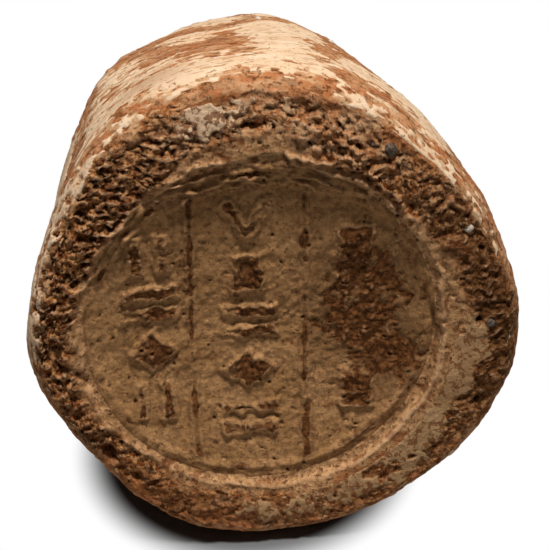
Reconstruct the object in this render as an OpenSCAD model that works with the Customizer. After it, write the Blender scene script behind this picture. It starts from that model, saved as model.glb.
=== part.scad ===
// Stamped clay cone of the kind that was set, tail first, in the mortar of a tomb front.
// A lump of coarse clay is patted into a cone and laid on its side to dry, which flattens it there.
// A pad of finer clay closes the broad end and takes a round stamp. A pale slip covers it all, and
// only patches of the slip are left. Grains of limestone and dark stone stand out of the clay.
//
// The cone is drawn along its own axis: the crest of the rim lies in the plane y = 0, the shank
// runs back along +y, and a direction round the axis is in degrees from +x towards +z.

/* [Head] */
// Mean radius of the head at its widest
head_r = 44.5; // [38:0.5:55]
// Length over which the rim rounds over, along the axis
rim_depth = 9; // [5:0.5:14]
// How far the rim draws in from the head's widest to its crest
rim_draw = 3.2; // [1:0.2:6]
// How far the face is dished, from the rim's crest to its middle
face_dish = 2; // [0.5:0.1:4]
// Swell of the head's three soft corners, as a share of its radius
lobe = 0.03; // [0:0.005:0.05]
// Direction of the first corner
lobe_at = 105; // [0:5:120]
// Swell of the head's long way across, as a share of its radius
oval = 0.03; // [0:0.005:0.05]
// Direction of the long way across
oval_at = 107; // [0:1:180]

/* [Shank] */
// Length from the rim's crest to the tail
length = 128; // [110:1:200]
// Radius of the blunt tail
tail_r = 12; // [8:0.5:20]
// How long the shank stays full before it tapers
fullness = 1.85; // [1.4:0.05:2.4]
// Number of flats left by wiping the shank lengthwise
wiped_flats = 11; // [7:1:15]
// Depth of the wiped flats
wipe_depth = 0.6; // [0:0.1:1.2]
// Strength of the swells and dents that patting left
patting = 1; // [0:0.1:1.4]

/* [Resting side] */
// Where the flattened side begins behind the crest
rest_front = 8; // [5:0.5:15]
// Where the flattened side ends behind the crest
rest_back = 80; // [60:1:100]
// How much more is flattened off beyond those two points
rest_cut = 0.6; // [0.3:0.1:1.5]

/* [Stamped pad] */
// Sideways place of the stamp's middle on the face
stamp_x = -2.4; // [-4:0.1:4]
// Upward place of the stamp's middle on the face
stamp_z = -0.5; // [-4:0.1:4]
// Width of the rim where it is narrowest, from its crest to the pad
least_rim = 2.8; // [1.5:0.1:5]
// Thickness of the pad at its edge
pad_t = 5.6; // [4:0.1:9]
// Depth of the pad's edge below the rim's crest
pad_drop = 0.8; // [0:0.1:1.5]
// Gap between the pad and its seat
pad_gap = 0.1; // [0.05:0.05:0.3]
// Width of the pad's plain edge, round the stamp
stamp_margin = 2.2; // [0.8:0.1:4]
// Depth that the stamp sank
stamp_depth = 2.6; // [1.5:0.1:3.5]
// How far the sunk wall leans
stamp_lean = 1.2; // [0.4:0.1:1.6]

/* [Stamped relief] */
// Distance from the stamp's edge in to the middle of the border ring
ring_inset = 3; // [2.5:0.1:5]
// Width of the border ring
ring_w = 1.9; // [1:0.1:3]
// Height of the border ring
ring_h = 1.1; // [0.5:0.1:1.6]
// Place of the rule to the left of the middle
rule_left = -12; // [-14:0.5:-8]
// Place of the rule to the right of the middle
rule_right = 8; // [6:0.5:14]
// Width of a rule
rule_w = 1.5; // [0.8:0.1:2.5]
// Height of the rules and marks
relief_h = 0.8; // [0.4:0.1:1.2]
// Width of a mark
mark_w = 9.5; // [5:0.5:11]
// Height of a mark, along its column
mark_l = 7; // [4:0.5:8]
// Distance from one mark to the next in a column
mark_pitch = 9.6; // [8.5:0.1:12]
// Thickness of a mark's strokes
stroke = 2; // [1:0.1:2.6]
// Width of a block mark
block_w = 5.5; // [3:0.5:8]

/* [Slip] */
// Thickness of the slip on the shank and rim
slip_t = 0.5; // [0.2:0.05:1]
// Thickness of the slip in the stamped field
field_slip_t = 0.3; // [0.1:0.05:0.5]
// Gap between the slip and what it lies on or runs up to
slip_gap = 0.12; // [0.08:0.01:0.2]
// How ragged the edge of a patch is, as a share of its size
ragged = 0.16; // [0:0.02:0.3]
// Radius of the worn place in the stamped field
worn_r = 9; // [4:0.5:12]

/* [Grit] */
// Radius of a limestone grain
lime_r = 0.9; // [0.5:0.1:2]
// Radius of a dark stone grain
dark_r = 1.3; // [0.6:0.1:2.5]
// Share of a grain's radius that stands out of the clay
grain_proud = 0.5; // [0.2:0.05:0.8]
// Gap between a grain and its socket
grain_gap = 0.05; // [0.02:0.01:0.1]

/* [Hidden] */
$fn = 96;

clay = "#8a5331";
fine_clay = "#8d6a44";
slip = "#dcb98c";
field_slip_tint = "#7d6040";
limestone = "#e9e2d2";
dark_stone = "#5b5650";

// Directions round the loft, and where its rings lie
loft_sides = 72;
face_steps = [0.3, 0.16, 0.06];
rim_steps = 6;
shank_steps = 18;
tail_steps = 5;
tail_dome = 0.9 * tail_r;
dome_from = length - tail_dome;
hand_peak = 0.6;
down = -90;

// Swells and dents: direction, place along the axis, height, half spread in degrees, half length
pats = [
    [133, 57, 2.7, 10, 30], [100, 57, -2.4, 25, 38], [51, 64, -1.2, 10, 38], [151, 16, -1.3, 18, 13],
    [188, 5, 1.5, 14, 11], [220, 4, -2, 17, 12], [-43, 0, -0.8, 28, 10],
];

// Patches of slip: direction, place along the axis, half width round the axis, half length.
// A place below 0 lies on the face, that far in from the crest.
shank_patches = [
    [83, 42, 8, 17], [105, 12, 19, 6], [122, 25, 9, 3.6], [109, 49, 4.5, 6], [53, 19, 11, 9],
    [155, 24, 4, 5], [161, 6, 7, 2], [166, 44, 11, 10], [106, 78, 9, 9], [64, 84, 10, 10],
    [5, 58, 12, 16], [200, 66, 11, 13], [100, length - 24, 9, 8],
];
rim_patches = [
    [106, -3.8, 5.5, 2.4], [-18, -5.8, 12, 2.4], [-40, -5.2, 9, 2.2], [-56, -3.4, 6, 1.8],
    [-80, -3.4, 8, 1.8],
];
patch_sides = 24;
patch_step = 4;
patch_thin = 0.55;

// Grains: direction and place along the axis
lime_grains = [[27, -1.5], [86, 68], [64, 56], [190, 24], [-22, 18], [120, 92], [206, 38]];
dark_grains = [[63, -3.6], [58, -2.4], [-2, -3], [140, 62], [24, 84], [176, 92]];

// The worn place is made of discs: place and radius, as shares of worn_r
worn_discs = [[0, 0, 1], [0.55, -0.75, 0.75], [0.1, 0.8, 0.6]];

// Marks in the three columns of the stamp, from the top down
left_marks = ["posts", "bars", "lozenge", "posts"];
middle_marks = ["chevron", "block", "bars", "lozenge", "bars"];
right_marks = ["block", "posts", "chevron", "block"];

// Shape of the lump

function share(s) = max(0, min(1, s / length));

function sum(list) = list * [for (value = list) 1];

function outline(a, s) =
    1 + (1 - pow(share(s), 2)) * (lobe * cos(3 * (a - lobe_at)) + oval * cos(2 * (a - oval_at)));

function taper(s) = head_r - (head_r - tail_r) * pow(share(s), fullness);

// The rim's section is a quarter of an ellipse
function rim_in(s) = s < rim_depth ? rim_draw * (1 - sqrt(1 - pow(1 - s / rim_depth, 2))) : 0;

function tail_in(s) = s > dome_from ? sqrt(max(0, 1 - pow((s - dome_from) / tail_dome, 2))) : 1;

// The wiped flats begin behind the rim and die out at the tail
function hand_share(s) =
    s < rim_depth ? 0 : sin(180 * pow(min(1, (s - rim_depth) / (length - rim_depth)), hand_peak));

function wiped_flat(a, s) = hand_share(s) * wipe_depth * (1 + cos(wiped_flats * a)) / 2;

// A pat fades out all round its middle, by the bell curve
function turn(a) = a - 360 * floor((a + 180) / 360);

function pat(p, a, s) = p[2] * exp(-pow(turn(a - p[0]) / p[3], 2) - pow((s - p[1]) / p[4], 2));

function patted(a, s) = patting * sum([for (p = pats) pat(p, a, s)]);

function side_r(a, s) =
    ((taper(s) - rim_in(s)) * outline(a, s) + patted(a, s) - wiped_flat(a, s)) * tail_in(s);

function crest_r(a) = side_r(a, 0);

function side_point(a, s) = [side_r(a, s) * cos(a), s, side_r(a, s) * sin(a)];

// A point on the face, a share of the way in from the crest to the axis
function face_point(a, q) =
    let (r = crest_r(a) * (1 - q))
    [r * cos(a), face_dish * (1 - pow(1 - q, 2)), r * sin(a)];

// A point on the clay: v runs back from the crest along the shank, or in over the face below 0
function clay_point(a, v) = v < 0 ? face_point(a, -v / crest_r(a)) : side_point(a, v);

function unit(p) = p / norm(p);

function clay_normal(a, v) =
    let (e = 0.5)
    let (back = clay_point(a, v + e) - clay_point(a, v - e))
    let (around = clay_point(a + e, v) - clay_point(a - e, v))
    unit(cross(back, around));

function above_clay(a, v, h) = clay_point(a, v) + h * clay_normal(a, v);

// Rings of the loft, from the face over the crest to the tail

directions = [for (i = [0 : loft_sides - 1]) 360 * i / loft_sides];
rim_places = [for (k = [0 : rim_steps]) rim_depth * (1 - cos(90 * k / rim_steps))];
shank_places = [for (k = [1 : shank_steps]) rim_depth + (dome_from - rim_depth) * k / shank_steps];
tail_places = [for (k = [1 : tail_steps]) dome_from + tail_dome * sin(90 * k / (tail_steps + 0.5))];
side_places = concat(rim_places, shank_places, tail_places);
loft_rings = concat(
    [for (q = face_steps) [for (a = directions) face_point(a, q)]],
    [for (s = side_places) [for (a = directions) side_point(a, s)]]
);
loft_points = [for (ring = loft_rings) each ring];

// The flattened side: a plane through the underside at two places, tipped level

rest_slope = (side_r(down, rest_front) - side_r(down, rest_back)) / (rest_back - rest_front);
tilt = atan(rest_slope);

function level_y(p) = p.y * cos(tilt) + p.z * sin(tilt);
function level_z(p) = p.z * cos(tilt) - p.y * sin(tilt);

lift = -level_z(side_point(down, rest_front)) - rest_cut;
mid_x = (min([for (p = loft_points) p.x]) + max([for (p = loft_points) p.x])) / 2;
mid_y = (min([for (p = loft_points) level_y(p)]) + max([for (p = loft_points) level_y(p)])) / 2;
floor_size = 4 * (length + head_r);

// The pad is the largest disc round the stamp's middle that leaves the narrowest rim

function crest_gap(a) = norm([crest_r(a) * cos(a) - stamp_x, crest_r(a) * sin(a) - stamp_z]);

pad_r = min([for (a = directions) crest_gap(a)]) - least_rim;
stamp_r = pad_r - stamp_margin;
field_r = stamp_r - stamp_lean;
ring_r = stamp_r - ring_inset;
inner_r = ring_r - ring_w / 2;

// Depths of the stamped field and of the pad's seat, back from the rim's crest

field_y = pad_drop + stamp_depth;
seat_y = pad_drop + pad_t;
floor_t = seat_y - field_y;
relief_root = 0.5;

module placed() {
    translate([-mid_x, -mid_y, lift]) rotate([-tilt, 0, 0]) children();
}

// Draws on the face: x to the right, y up and z out of the face
module on_face(depth) {
    translate([stamp_x, depth, stamp_z]) rotate([90, 0, 0]) children();
}

// A closed skin from one tip, over rings of points, to another tip
module skin(first_tip, rings, last_tip) {
    n = len(rings[0]);
    count = n * len(rings);
    walls = [
        for (k = [0 : len(rings) - 2], i = [0 : n - 1])
        let (j = (i + 1) % n, b = k * n)
        each [[b + i, b + j, b + n + j], [b + i, b + n + j, b + n + i]]
    ];
    first_fan = [for (i = [0 : n - 1]) [count, (i + 1) % n, i]];
    last_fan = [for (i = [0 : n - 1]) [count + 1, count - n + i, count - n + (i + 1) % n]];
    polyhedron(
        points = concat([for (ring = rings) each ring], [first_tip, last_tip]),
        faces = concat(walls, first_fan, last_fan),
        convexity = 4
    );
}

// Shares of a patch's size at which its rings lie, close enough to follow the round of the clay
function patch_shares(patch) =
    let (n = ceil(max(patch[2], patch[3]) / patch_step))
    [for (k = [1 : n]) k / n];

// Outline of a patch at one share of its size, lifted off the clay
function patch_ring(patch, size, h) =
    let (reach = patch[2] / side_r(patch[0], max(0, patch[1])) * 180 / PI)
    [
        for (i = [0 : patch_sides - 1])
        let (t = 360 * i / patch_sides, wobble = sin(3 * t + 7 * patch[0]) - cos(5 * t) / 2)
        let (k = size * (1 + ragged * wobble))
        above_clay(patch[0] + reach * k * cos(t), patch[1] + patch[3] * k * sin(t), h)
    ];

// A flake of slip that follows the clay and thins towards its edge
module slip_patch(patch) {
    shares = patch_shares(patch);
    under = [for (q = shares) patch_ring(patch, q, slip_gap)];
    over = [for (q = shares) patch_ring(patch, q, slip_gap + slip_t * (1 - patch_thin * q * q))];
    skin(
        above_clay(patch[0], patch[1], slip_gap),
        concat(under, [for (k = [len(over) - 1 : -1 : 0]) over[k]]),
        above_clay(patch[0], patch[1], slip_gap + slip_t)
    );
}

module grains(places, r, grow) {
    for (g = places)
        translate(above_clay(g[0], g[1], r * (grain_proud - 1))) sphere(r = r + grow);
}

// Marks of the stamp, drawn flat: each fits a box of mark_w by mark_l, and grows outwards for a gap

module mark(kind, grow) {
    w = mark_w / 2 + grow;
    l = mark_l / 2 + grow;
    foot = stroke * 1.6;
    if (kind == "lozenge") polygon([[w, 0], [0, l], [-w, 0], [0, -l]]);
    if (kind == "block") square([block_w + 2 * grow, 2 * l], center = true);
    if (kind == "posts")
        for (x = [-1, 1]) translate([x * mark_w / 4, 0]) square([stroke + 2 * grow, 2 * l], center = true);
    if (kind == "bars")
        for (y = [-1, 1]) translate([0, y * stroke]) square([2 * w, stroke + 2 * grow], center = true);
    if (kind == "chevron")
        polygon([[-w, l], [-w + foot, l], [0, foot - l], [w - foot, l], [w, l], [0, -l]]);
}

module column(kinds, x, grow) {
    for (k = [0 : len(kinds) - 1])
        translate([x, mark_pitch * ((len(kinds) - 1) / 2 - k)]) mark(kinds[k], grow);
}

module relief_outline(grow) {
    intersection() {
        circle(inner_r + grow);
        union() {
            for (x = [rule_left, rule_right])
                translate([x - rule_w / 2 - grow, -ring_r]) square([rule_w + 2 * grow, 2 * ring_r]);
            column(left_marks, (rule_left - inner_r + stroke) / 2, grow);
            column(middle_marks, (rule_left + rule_right) / 2, grow);
            column(right_marks, (rule_right + inner_r - stroke) / 2, grow);
        }
    }
}

module worn_outline() {
    for (p = worn_discs)
        translate([(rule_right + inner_r) / 2 + p.x * worn_r, p.y * worn_r]) circle(worn_r * p.z);
}

// The coarse clay: the whole cone, with a seat for the pad and sockets round the grains
module clay_core() {
    color(clay) difference() {
        placed() difference() {
            skin([0, face_dish, 0], loft_rings, [0, length, 0]);
            on_face(seat_y) cylinder(r = pad_r + pad_gap, h = seat_y + face_dish);
            grains(lime_grains, lime_r, grain_gap);
            grains(dark_grains, dark_r, grain_gap);
        }
        translate([0, 0, -floor_size / 2]) cube(floor_size, center = true);
    }
}

// The fine clay that closes the broad end: a sunk round field with a border ring, rules and marks
module stamped_pad() {
    color(fine_clay) placed() {
        on_face(seat_y) rotate_extrude() polygon([
            [0, 0], [pad_r, 0], [pad_r, pad_t], [stamp_r, pad_t], [field_r, floor_t], [0, floor_t]
        ]);
        on_face(field_y) rotate_extrude() polygon([
            [inner_r, -relief_root], [inner_r + ring_w, -relief_root], [inner_r + ring_w, ring_h / 2],
            [ring_r, ring_h], [inner_r, ring_h / 2]
        ]);
        on_face(field_y + relief_root) linear_extrude(relief_root + relief_h) relief_outline(0);
    }
}

module shank_slip() {
    color(slip) placed() for (p = shank_patches) slip_patch(p);
}

module rim_slip() {
    color(slip) placed() for (p = rim_patches) slip_patch(p);
}

// Slip left in the sunk field, round the marks and clear of the worn place
module field_slip() {
    color(field_slip_tint) placed() on_face(field_y) linear_extrude(field_slip_t) difference() {
        circle(inner_r - slip_gap);
        relief_outline(slip_gap);
        worn_outline();
    }
}

module limestone_grit() {
    color(limestone) placed() grains(lime_grains, lime_r, 0);
}

module dark_grit() {
    color(dark_stone) placed() grains(dark_grains, dark_r, 0);
}

clay_core();
stamped_pad();
shank_slip();
rim_slip();
field_slip();
limestone_grit();
dark_grit();
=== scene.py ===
import math

import bpy
import numpy as np
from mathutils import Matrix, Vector


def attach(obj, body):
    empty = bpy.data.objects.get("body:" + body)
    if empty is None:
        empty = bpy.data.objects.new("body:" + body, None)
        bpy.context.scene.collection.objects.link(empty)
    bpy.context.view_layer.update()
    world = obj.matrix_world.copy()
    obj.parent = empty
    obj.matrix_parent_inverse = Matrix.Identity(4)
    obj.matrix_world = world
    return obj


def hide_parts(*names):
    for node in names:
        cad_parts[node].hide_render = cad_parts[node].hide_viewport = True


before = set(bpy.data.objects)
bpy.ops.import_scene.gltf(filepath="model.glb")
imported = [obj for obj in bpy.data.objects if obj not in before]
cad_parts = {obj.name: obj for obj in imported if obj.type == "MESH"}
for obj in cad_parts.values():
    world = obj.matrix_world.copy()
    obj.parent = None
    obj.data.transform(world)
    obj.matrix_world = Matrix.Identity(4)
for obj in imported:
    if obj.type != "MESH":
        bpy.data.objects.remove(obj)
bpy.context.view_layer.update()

# Clay core
# A lump of coarse desert clay with chaff and grit in it, patted by hand into a blunt cone and wiped
# round with wet fingers. It dried on its side, which left that side flat.

# Sizes are in millimetres along the cone's own axis: the rim's crest lies at y = 0, and the shank runs
# back along +y. A direction round the axis is in degrees from +x towards +z.
HEAD_R = 44.5
RIM_DEPTH = 9.0
RIM_DRAW = 3.2
FACE_DISH = 2.0
LOBE = 0.03
LOBE_AT = 105
OVAL = 0.03
OVAL_AT = 107
LENGTH = 128.0
TAIL_R = 12.0
TAIL_DOME = 0.9 * TAIL_R
FULLNESS = 1.85
WIPED_FLATS = 11
WIPE_DEPTH = 0.6
HAND_PEAK = 0.6
REST_FRONT = 8.0
REST_BACK = 80.0
REST_CUT = 0.6
DOWN = -90.0
UP = 90.0

# Swells and dents that patting left: direction, place, height, half spread in degrees, half length
PATS = [
    (133, 57, 2.7, 10, 30),
    (100, 57, -2.4, 25, 38),
    (51, 64, -1.2, 10, 38),
    (151, 16, -1.3, 18, 13),
    (188, 5, 1.5, 14, 11),
    (220, 4, -2.0, 17, 12),
    (-43, 0, -0.8, 28, 10),
]


def wrapped(turn):
    """A direction in degrees, brought to the half turn on either side of 0."""
    return (turn + 180) % 360 - 180


def ease(x, low, high):
    """0 up to low, 1 from high, and 3t^2 - 2t^3 in between."""
    t = np.clip((x - low) / (high - low), 0, 1)
    return t * t * (3 - 2 * t)


def bell(x, half):
    """The bell curve: 1 at 0, and 1/e at half to either side."""
    return np.exp(-((x / half) ** 2))


def side_radius(a, s):
    """Radius of the lump: the head's radius, less its taper and the quarter ellipse of the rim, times
    an outline of three soft corners and an oval, plus the pats, less the wiped flats, times the dome
    that closes the tail."""
    t = np.clip(s / LENGTH, 0, 1)
    corners = LOBE * np.cos(np.radians(3 * (a - LOBE_AT))) + OVAL * np.cos(np.radians(2 * (a - OVAL_AT)))
    outline = 1 + (1 - t**2) * corners
    taper = HEAD_R - (HEAD_R - TAIL_R) * t**FULLNESS
    rim = RIM_DRAW * (1 - np.sqrt(1 - np.clip(1 - s / RIM_DEPTH, 0, 1) ** 2))
    patted = sum(h * bell(wrapped(a - at), w) * bell(s - place, l) for at, place, h, w, l in PATS)
    wiped_share = np.clip((s - RIM_DEPTH) / (LENGTH - RIM_DEPTH), 0, 1)
    hand = WIPE_DEPTH * np.sin(np.pi * wiped_share**HAND_PEAK)
    wiped = hand * (1 + np.cos(np.radians(WIPED_FLATS * a))) / 2
    dome = np.sqrt(np.clip(1 - np.clip((s - LENGTH + TAIL_DOME) / TAIL_DOME, 0, 1) ** 2, 0, 1))
    return ((taper - rim) * outline + patted - wiped) * dome


def polar(r, a):
    """x and z at radius r in direction a."""
    return r * np.cos(np.radians(a)), r * np.sin(np.radians(a))


def side_points(a, s):
    """Points of the smooth lump in direction a at s behind the crest."""
    r = side_radius(a, s)
    x, z = polar(r, a)
    return np.stack([x, s + 0 * r, z], -1)


def side_normals(a, s):
    """Outward directions of the lump: its slope along the axis crossed with its slope round it."""
    step = 0.02
    back = side_points(a, s + step) - side_points(a, np.maximum(s - step, 0))
    round_axis = side_points(a + step, s) - side_points(a - step, s)
    n = np.cross(back, round_axis)
    return n / np.linalg.norm(n, axis=-1, keepdims=True)


rest_fall = side_radius(DOWN, REST_FRONT) - side_radius(DOWN, REST_BACK)
TILT = math.atan(rest_fall / (REST_BACK - REST_FRONT))


def level(p):
    """Points turned about the x axis by the tilt, which lays the flattened side level."""
    x, y, z = np.moveaxis(np.asarray(p, float), -1, 0)
    turned_y = y * math.cos(TILT) + z * math.sin(TILT)
    turned_z = z * math.cos(TILT) - y * math.sin(TILT)
    return np.stack([x, turned_y, turned_z], -1)


MM = 0.001
DIRECTIONS = np.arange(0, 360, 5.0)
loft = level(side_points(DIRECTIONS[None, :], np.linspace(0, LENGTH, 200)[:, None])).reshape(-1, 3)
rest_z = level(side_points(np.array(DOWN), np.array(REST_FRONT)))[2] + REST_CUT
MIDDLE = np.append((loft[:, :2].min(0) + loft[:, :2].max(0)) / 2, rest_z)


def placed(p):
    """Points in the cone's millimetres, brought to the row's frame in metres, none below the floor."""
    q = MM * (level(p) - MIDDLE)
    q[..., 2] = np.maximum(q[..., 2], 0)
    return q


# Large odd numbers that scatter whole numbers evenly, and how far apart they set two seeds
CELL_ODDS = np.array((73856093, 19349663, 83492791), np.uint32)
MIX_ODDS = (np.uint32(2654435761), np.uint32(2246822519))
LAST_BITS = np.uint32(0xFFFFFF)
SEED_STEP = 40503
SEED_START = 977


def hashed(cell, seed):
    """A repeatable number from 0 to 1 for each lattice cell: its three whole numbers are multiplied by
    large odd numbers, mixed, and folded over themselves."""
    c = cell.astype(np.int64).astype(np.uint32) * CELL_ODDS
    h = c[..., 0] ^ c[..., 1] ^ c[..., 2]
    h = (h ^ np.uint32(seed * SEED_STEP + SEED_START)) * MIX_ODDS[0]
    h = (h ^ (h >> np.uint32(15))) * MIX_ODDS[1]
    return ((h ^ (h >> np.uint32(13))) & LAST_BITS) / float(LAST_BITS)


CORNERS = [np.array((i, j, k)) for i in (0, 1) for j in (0, 1) for k in (0, 1)]
# Each seed shifts the lattice, so that no two patterns share their corners
CORNER_SHIFT = 7.31


def rumple(p, size, seed):
    """Smooth unevenness from -1 to 1 with swells of that size: a random number at each corner of a
    cubic lattice, blended by 3t^2 - 2t^3 between the eight corners round a point."""
    q = p / size + seed * CORNER_SHIFT
    cell = np.floor(q)
    t = q - cell
    t = t * t * (3 - 2 * t)
    total = 0
    for corner in CORNERS:
        share = np.prod(np.where(corner == 1, t, 1 - t), axis=-1)
        total = total + share * hashed(cell + corner, seed)
    return 2 * total - 1


NEIGHBOURS = [np.array((i, j, k)) for i in (-1, 0, 1) for j in (-1, 0, 1) for k in (-1, 0, 1)]
GRAIN_SHIFT = 3.17
# Added to a seed for a grain's place along each axis, and for its own number
PLACE_SEEDS = (101, 202, 303)
NUMBER_SEED = 404


def nearest_grain(p, size, seed):
    """Distance to the nearest of the scattered grains, as a share of the lattice size, with that grain's
    own random number: each cell of a cubic lattice holds one grain at a random place."""
    q = p / size + seed * GRAIN_SHIFT
    cell = np.floor(q)
    best = np.full(q.shape[:-1], 9.0)
    luck = np.zeros(q.shape[:-1])
    for step in NEIGHBOURS:
        near = cell + step
        grain = np.stack([hashed(near, seed + k) for k in PLACE_SEEDS], -1)
        d = np.sum((near + grain - q) ** 2, axis=-1)
        luck = np.where(d < best, hashed(near, seed + NUMBER_SEED), luck)
        best = np.minimum(best, d)
    return np.sqrt(best), luck


# Slip that is left on the shank: direction, place, half width round the axis, half length, solidity
SHANK_STROKES = [
    (85, 25, 5.5, 11, 3.0),
    (82, 46, 9.0, 17, 3.5),
    (99, 10.6, 25, 7.0, 4.5),
    (122, 25, 10, 6.5, 0.8),
    (129, 13, 7.0, 8.0, 0.8),
    (130, 37, 6.0, 9.0, 0.5),
    (109, 49, 5.0, 7.5, 0.8),
    (65, 20, 6.0, 5.0, 1.8),
    (50, 18, 9.0, 11, 2.2),
    (63, 5.0, 2.4, 1.2, 0.9),
    (70, 2.0, 5.0, 1.6, 0.7),
    (41, 1.2, 5.0, 1.0, 0.5),
    (144, 4.4, 14, 2.6, 0.3),
    (154, 21, 9.0, 14, 3.4),
    (163, 5.5, 10, 3.2, 0.9),
    (164, 42, 12, 14, 2.0),
    (106, 78, 10, 9.0, 2.2),
    (64, 84, 10, 10, 1.6),
    (5, 58, 12, 16, 2.0),
    (200, 66, 11, 13, 1.8),
    (100, LENGTH - 24, 9, 8, 1.6),
]
# Places on the shank that the slip has worn off, in the same terms
SHANK_BARE = [
    (100, 34, 5.8, 10, 2.0),
    (116, 32, 3.0, 6.0, 1.2),
    (74, 25, 2.6, 8.0, 1.6),
    (65, 46, 4.2, 11, 1.6),
    (70, 9.5, 6.0, 4.5, 1.8),
    (55, 7.5, 3.6, 2.5, 1.0),
    (142, 14, 5.5, 10, 1.6),
    (137, 37, 3.4, 7.0, 1.4),
    (96, 0.0, 17, 3.0, 2.0),
]
# Slip that is left on the front of the rim, where a place below 0 lies in from the crest
RIM_STROKES = [
    (106, -3.4, 5.8, 2.6, 1.6),
    (107, -0.9, 2.6, 0.9, 1.3),
    (96, -1.2, 3.6, 0.8, 1.0),
    (-18, -7.0, 14, 3.2, 1.3),
    (-40, -6.6, 11, 3.2, 1.2),
    (-55, -2.2, 5.2, 1.9, 1.3),
    (-66, -5.4, 10, 3.2, 0.5),
    (-86, -5.0, 11, 2.8, 0.1),
]
# The hand wiped round the shank, so marks of the wiping are longer round the axis than along it
STREAKED = np.array((1.0, 2.4, 1.0))
LEAST_INSET = -4.5
# How much a stroke's inset builds the slip up, and a worn place's takes off
STROKE_GAIN = 0.55
WEAR_GAIN = 2.2
# Layers of unevenness: height, size of the swells, seed
WIPING_STREAKS = ((0.9, 9.0, 21), (1.1, 4.0, 22), (1.6, 2.0, 27), (1.5, 1.2, 29))
LOW_WEAR = ((2.8, 13.0, 30), (1.6, 6.0, 20))
# Uneven wear sets in between these places along the shank, and these degrees from the top
TAIL_WEAR = (55, 68)
SIDE_WEAR = (65, 90)
RIM_BLOTCHES = ((1.4, 3.4, 23), (1.3, 1.7, 24), (1.0, 0.85, 28))
# Pits: least width, width by chance, width of the edge, and the share of them that is there
SLIP_PITS = (0.08, 0.42, 0.15, 0.5)
SLIP_PIT_SIZE = 4.6
SLIP_PIT_DEPTH = 3.0
SLIP_PITS_END = (40, 60)


def stroke_inset(strokes, a, v):
    """How far a point lies inside the nearest stroke, in millimetres, up to that stroke's solidity: one
    less the length of the offset in half sizes, times the stroke's lesser half size."""
    inset = np.full(np.broadcast(a, v).shape, LEAST_INSET)
    for at, place, wide, long, solid in strokes:
        arc = np.radians(wrapped(a - at)) * side_radius(at, max(place, 0.0))
        reach = np.sqrt((arc / wide) ** 2 + ((v - place) / long) ** 2)
        inset = np.maximum(inset, np.clip((1 - reach) * min(wide, long), LEAST_INSET, solid))
    return inset


def uneven(p, layers):
    """Layers of unevenness added up, each by its height, the size of its swells and its seed."""
    return sum(height * rumple(p, size, seed) for height, size, seed in layers)


def pitted(grains, least, more, edge, chance):
    """1 in pits and 0 between them: a grain whose number is under the chance leaves a pit, as wide as the
    least and more by its number, with an eased edge."""
    off, luck = grains
    return ease(least + more * luck - off, 0, edge) * (luck < chance)


def slip_cover(p, a, v):
    """Slip that is left, above 0 where it covers: the strokes' inset, less the worn places, plus streaks
    of the wiping hand on the shank or blotches on the rim, less pits of burnt-out chaff. Low on the sides
    and at the tail it wore more unevenly."""
    shank = STROKE_GAIN * stroke_inset(SHANK_STROKES, a, v)
    shank = shank - WEAR_GAIN * np.maximum(stroke_inset(SHANK_BARE, a, v), 0)
    low_down = np.maximum(ease(v, *TAIL_WEAR), ease(np.abs(wrapped(a - UP)), *SIDE_WEAR))
    shank = shank + uneven(p * STREAKED, WIPING_STREAKS) + low_down * uneven(p, LOW_WEAR)
    rim = stroke_inset(RIM_STROKES, a, v) + uneven(p, RIM_BLOTCHES)
    on_side = ease(v, -0.6, 0.6)
    stretched = p * (1 + on_side[..., None] * (STREAKED - 1))
    pits = pitted(nearest_grain(stretched, SLIP_PIT_SIZE, 25), *SLIP_PITS)
    pits = pits * (1 - ease(v, *SLIP_PITS_END))
    return on_side * shank + (1 - on_side) * rim - SLIP_PIT_DEPTH * pits


# Width of the broken, crumbly front of the rim, in from the crest, at twelve directions
CRUMBLY_AT = np.arange(0, 360, 30)
CRUMBLY_WIDTH = (6.0, 8.0, 10.5, 8.0, 8.5, 8.5, 5.5, 5.5, 6.5, 8.0, 7.0, 6.0)
# How deeply it is broken, at the same directions
BROKEN_BY = (0.62, 0.78, 1.0, 0.95, 1.05, 1.15, 1.15, 0.9, 0.55, 0.4, 0.45, 0.55)
# How far the break reaches over the crest: reach, direction, half spread in degrees
BROKEN_OVER = ((3.5, 165, 45), (2.5, 0, 40), (-0.8, 85, 28))
CRUMBLY_WANDER = ((1.6, 6.0, 26), (1.2, 2.2, 76))


def crumbly_share(p, a, v):
    """1 where the rim is broken and crumbly, 0 on wiped clay: the band inside the crest, and a little of
    the side on the left and right, with a wandering edge."""
    width = np.interp(a % 360, CRUMBLY_AT, CRUMBLY_WIDTH, period=360)
    wander = uneven(p, CRUMBLY_WANDER)
    front = ease(v + width + wander, -1.2, 1.2)
    over = sum(far * bell(wrapped(a - at), spread) for far, at, spread in BROKEN_OVER)
    side = 1 - ease(v + wander + 0.4, over - 2.5, over + 2.5)
    return front * side


# Holes knocked out of the rim: direction, place, depth, half width round the axis, half width across
HOLES = [
    (219, -1.2, 2.6, 2.0, 1.1),
    (229, -2.0, 1.6, 1.2, 0.8),
    (-25, -1.6, 1.4, 1.2, 0.8),
    (95, -5.5, 1.1, 2.6, 0.5),
    (190, -3.0, 1.0, 1.0, 1.2),
    (66, -4.7, 1.2, 0.9, 0.5),
    (-1, -5.0, 1.6, 0.6, 0.6),
    (196, -6.0, 1.0, 1.8, 0.6),
]
# Broken clay lies in level ledges, this much longer than they are thick
FLATTENED = np.array((1.0, 1.6, 1.6))
SHAKE = 0.9
SHAKE_SIZE = 2.6
# Broken clay: its lumps, ledges, crumbs and chips by height, size and seed
LUMPS = ((0.2, 5.2, 52),)
LEDGES = ((0.2, 2.8, 53),)
CRUMBS = ((0.25, 0.85, 54),)
CHIPS = ((0.5, 2.3, 84), (0.6, 1.25, 85))
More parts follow.
